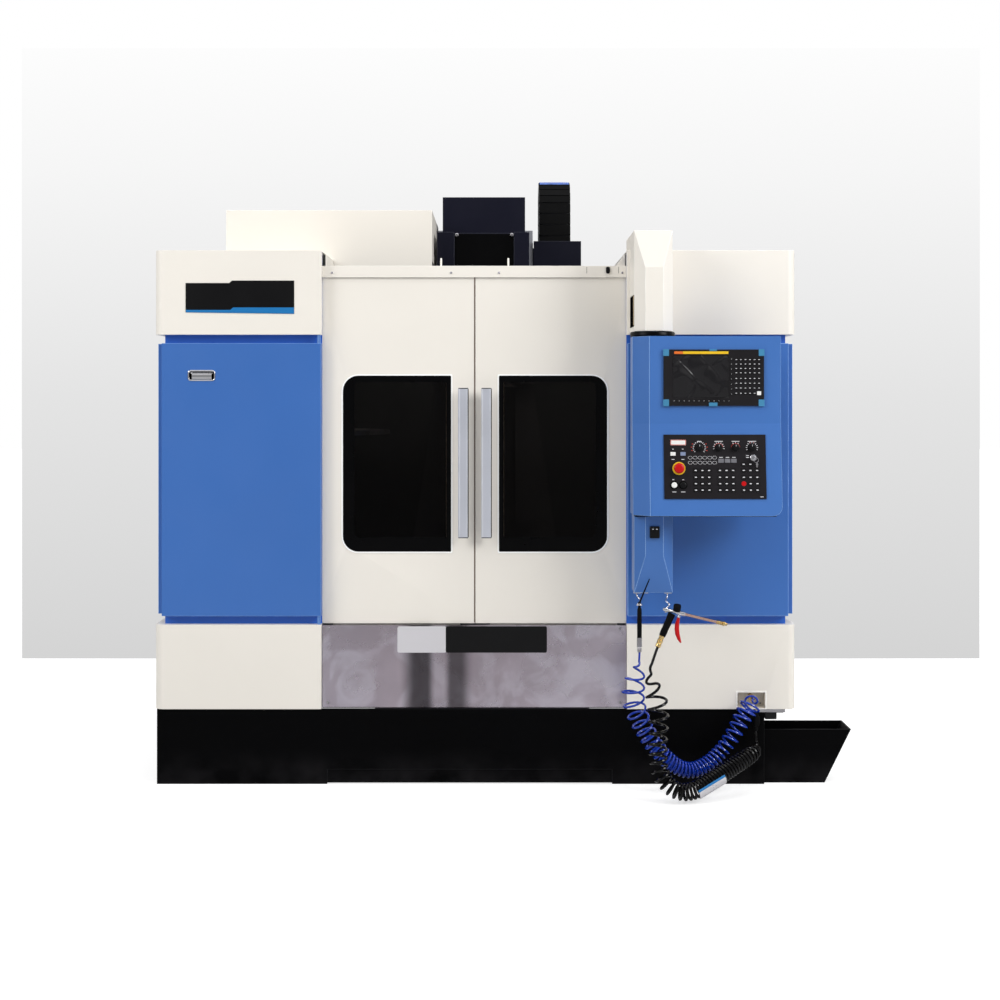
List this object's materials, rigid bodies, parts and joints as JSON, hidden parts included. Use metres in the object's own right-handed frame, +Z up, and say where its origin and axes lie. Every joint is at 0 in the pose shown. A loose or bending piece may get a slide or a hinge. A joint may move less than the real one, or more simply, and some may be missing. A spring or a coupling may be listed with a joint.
{
  "type": "machining centre",
  "caption": "Enclosed vertical milling machine with sliding doors, swinging operator pendant, tool magazine, moving axes, chip trough and two curly hoses with guns.",
  "frame": {"origin": "centre of the bounding box at floor level", "axes": "+X to the operator's right along the front, +Y from the front to the back, +Z up"},
  "size_m": [2.832, 2.558, 2.6356],
  "materials": {
    "cast_paint": "grey casting enamel, semi-matt",
    "ground_steel": "ground steel",
    "cast_iron": "machined cast iron",
    "black_sheet": "black powder coat, satin",
    "ivory_sheet": "ivory powder coat, fine texture",
    "blue_sheet": "blue powder coat, fine texture",
    "deep_blue_sheet": "deep blue powder coat",
    "stainless": "brushed stainless sheet",
    "anodised": "satin anodised",
    "window": "dark bordered glazing",
    "servo_black": "black paint, satin",
    "chrome_part": "bright chrome",
    "panel_plastic": "printed film over a blue plate",
    "display_plastic": "dark moulded plastic",
    "red_plastic": "red moulded plastic",
    "green_plastic": "white moulded plastic",
    "black_plastic": "black moulded plastic",
    "brass_part": "turned brass",
    "blue_hose": "translucent blue polyurethane",
    "black_hose": "black polyurethane"
  },
  "bodies": {
    "machine": {"bed_casting": "cast_paint", "leveling_feet": "ground_steel", "column_casting": "cast_paint", "axis_motors": "servo_black", "magazine_bracket": "cast_paint", "magazine_hood": "ivory_sheet", "electrical_cabinet": "ivory_sheet", "enclosure_body": "deep_blue_sheet", "upper_box_left": "ivory_sheet", "upper_box_right": "ivory_sheet", "lower_box_left": "ivory_sheet", "lower_box_right": "ivory_sheet", "front_panel_right": "blue_sheet", "side_panels": "blue_sheet", "base_plinth": "black_sheet", "chip_trough": "black_sheet", "stainless_skirt": "stainless", "door_header": "ivory_sheet", "door_rails": "ground_steel", "pendant_arm": "ivory_sheet", "chain_trough": "black_sheet", "drag_chain": "black_plastic", "air_coupler": "brass_part", "water_valve": "black_plastic", "air_hose": "blue_hose", "water_hose": "black_hose"},
    "saddle_body": {"saddle": "cast_iron", "x_servo_motor": "servo_black"},
    "table_body": {"table": "cast_iron"},
    "head": {"spindle_head": "cast_paint", "head_covers": "black_sheet", "spindle_motor": "servo_black"},
    "spindle_body": {"spindle": "ground_steel"},
    "screw": {"z_ball_screw": "ground_steel"},
    "magazine": {"magazine_carriage": "cast_paint"},
    "carousel": {"tool_carousel": "anodised"},
    "access": {"access_door": "blue_sheet"},
    "latch": {"latch_paddle": "chrome_part"},
    "left_door": {"door_left": "ivory_sheet", "window_left": "window", "handle_left": "anodised"},
    "right_door": {"door_right": "ivory_sheet", "window_right": "window", "handle_right": "anodised"},
    "cabinet_door_body": {"cabinet_door": "ivory_sheet"},
    "pendant": {"pendant_housing": "blue_sheet", "display_unit": "display_plastic", "operator_panel": "panel_plastic", "gun_hooks": "chrome_part", "air_gun": "anodised", "water_gun": "black_plastic"},
    "trigger": {"water_trigger": "red_plastic"},
    "estop": {"estop_button": "red_plastic"},
    "start": {"start_button": "green_plastic"},
    "hold": {"hold_button": "black_plastic"},
    "knob_feed": {"feed_knob": "black_plastic"},
    "knob_spindle": {"spindle_knob": "black_plastic"},
    "knob_rapid": {"rapid_knob": "black_plastic"},
    "knob_mode": {"mode_knob": "black_plastic"},
    "key": {"key_switch": "ground_steel"}
  },
  "joints": [
    {"name": "door_left_slide", "type": "slide", "parent": "machine", "child": "left_door", "axis": [1, 0, 0], "range_m": [-0.54, 0]},
    {"name": "door_right_slide", "type": "slide", "parent": "machine", "child": "right_door", "axis": [1, 0, 0], "range_m": [0, 0.54]},
    {"name": "access_door_hinge", "type": "hinge", "parent": "machine", "child": "access", "pos_m": [-0.75, -0.941, 1.2], "axis": [0, 0, 1], "range_deg": [0, 100]},
    {"name": "latch_hinge", "type": "hinge", "parent": "access", "child": "latch", "pos_m": [-1.225, -0.944, 1.668], "axis": [1, 0, 0], "range_deg": [-45, 0], "stiffness_Nm_per_rad": 0.6, "springref_deg": 5.73},
    {"name": "cabinet_door_hinge", "type": "hinge", "parent": "machine", "child": "cabinet_door_body", "pos_m": [-0.662, 1.267, 1.2], "axis": [0, 0, 1], "range_deg": [0, 110]},
    {"name": "pendant_swing", "type": "hinge", "parent": "machine", "child": "pendant", "pos_m": [0.586, -1.115, 1.828], "axis": [0, 0, 1], "range_deg": [-90, 0], "deforming": ["air_hose", "water_hose"]},
    {"name": "y_axis", "type": "slide", "parent": "machine", "child": "saddle_body", "axis": [0, 1, 0], "range_m": [-0.25, 0.25]},
    {"name": "x_axis", "type": "slide", "parent": "saddle_body", "child": "table_body", "axis": [1, 0, 0], "range_m": [-0.4, 0.4]},
    {"name": "z_axis", "type": "slide", "parent": "machine", "child": "head", "axis": [0, 0, 1], "range_m": [-0.5, 0], "deforming": ["drag_chain"]},
    {"name": "screw_turn", "type": "hinge", "parent": "machine", "child": "screw", "pos_m": [-0.09, 0.4, 1.6], "axis": [0, 0, 1], "continuous": true},
    {"name": "spindle_turn", "type": "hinge", "parent": "head", "child": "spindle_body", "pos_m": [-0.09, -0.17, 1.6], "axis": [0, 0, 1], "continuous": true},
    {"name": "magazine_slide", "type": "slide", "parent": "machine", "child": "magazine", "axis": [1, 0, 0], "range_m": [0, 0.46]},
    {"name": "carousel_turn", "type": "hinge", "parent": "magazine", "child": "carousel", "pos_m": [-0.82, -0.17, 1.45], "axis": [0, 0, 1], "continuous": true},
    {"name": "trigger_pull", "type": "hinge", "parent": "pendant", "child": "trigger", "pos_m": [0.681, -1.18, 0.716], "axis": [0, 1, 0], "range_deg": [0, 8], "stiffness_Nm_per_rad": 0.8, "springref_deg": -11.46},
    {"name": "estop_press", "type": "slide", "parent": "pendant", "child": "estop", "axis": [0, 0.9937, -0.112], "range_m": [0, 0.005], "stiffness_N_per_m": 1500, "springref_m": -0.002},
    {"name": "start_press", "type": "slide", "parent": "pendant", "child": "start", "axis": [0, 0.9937, -0.112], "range_m": [0, 0.003], "stiffness_N_per_m": 800, "springref_m": -0.001},
    {"name": "hold_press", "type": "slide", "parent": "pendant", "child": "hold", "axis": [0, 0.9937, -0.112], "range_m": [0, 0.003], "stiffness_N_per_m": 800, "springref_m": -0.001},
    {"name": "feed_knob_turn", "type": "hinge", "parent": "pendant", "child": "knob_feed", "pos_m": [0.753, -1.24453, 1.37479], "axis": [0, -0.9937, 0.112], "range_deg": [-120, 120]},
    {"name": "spindle_knob_turn", "type": "hinge", "parent": "pendant", "child": "knob_spindle", "pos_m": [0.828, -1.24453, 1.37479], "axis": [0, -0.9937, 0.112], "range_deg": [-120, 120]},
    {"name": "rapid_knob_turn", "type": "hinge", "parent": "pendant", "child": "knob_rapid", "pos_m": [0.893, -1.24453, 1.37479], "axis": [0, -0.9937, 0.112], "range_deg": [-120, 120]},
    {"name": "mode_knob_turn", "type": "hinge", "parent": "pendant", "child": "knob_mode", "pos_m": [0.956, -1.24453, 1.37479], "axis": [0, -0.9937, 0.112], "range_deg": [-120, 120]},
    {"name": "key_turn", "type": "hinge", "parent": "pendant", "child": "key", "pos_m": [0.961, -1.24878, 1.33703], "axis": [0, -0.9937, 0.112], "range_deg": [-90, 0]}
  ],
  "couplings": [
    {"joint": "screw_turn", "follows": "z_axis", "rad_per_m": 628.32}
  ]
}
